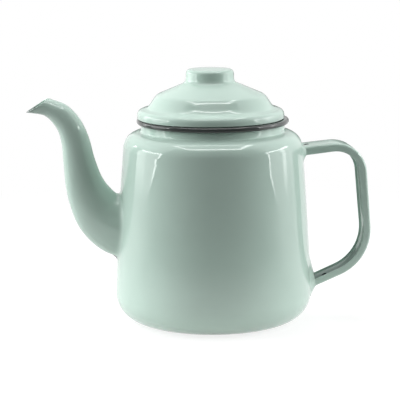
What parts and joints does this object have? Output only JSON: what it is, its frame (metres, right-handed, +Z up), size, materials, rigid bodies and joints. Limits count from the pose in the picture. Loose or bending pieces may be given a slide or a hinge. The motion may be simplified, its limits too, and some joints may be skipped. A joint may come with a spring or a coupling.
{
  "type": "enamel teapot",
  "caption": "Round enamelled steel teapot with a curved spout, a flat hollow side handle, a dark-banded rim and a lift-off domed lid with a knob.",
  "frame": {"origin": "centre of the flat base, on the surface that the teapot stands on", "axes": "+Z up, spout towards -X, handle towards +X, the picture is seen looking along +Y"},
  "size_m": [0.2463, 0.1408, 0.1804],
  "materials": {
    "enamel": "glossy pale green vitreous enamel on steel",
    "rim_enamel": "glossy charcoal vitreous enamel on steel"
  },
  "bodies": {
    "pot": {"pot_body": "enamel", "rim_trim": "rim_enamel", "spout_left_half": "enamel", "spout_right_half": "enamel", "handle_channel": "enamel", "handle_inner_strip": "enamel"},
    "lid": {"lid_cover": "enamel", "lid_collar": "enamel", "lid_knob": "enamel"}
  },
  "joints": [
    {"name": "lid_lift", "type": "slide", "parent": "pot", "child": "lid", "axis": [0, 0, 1], "range_m": [0, 0.06]}
  ]
}
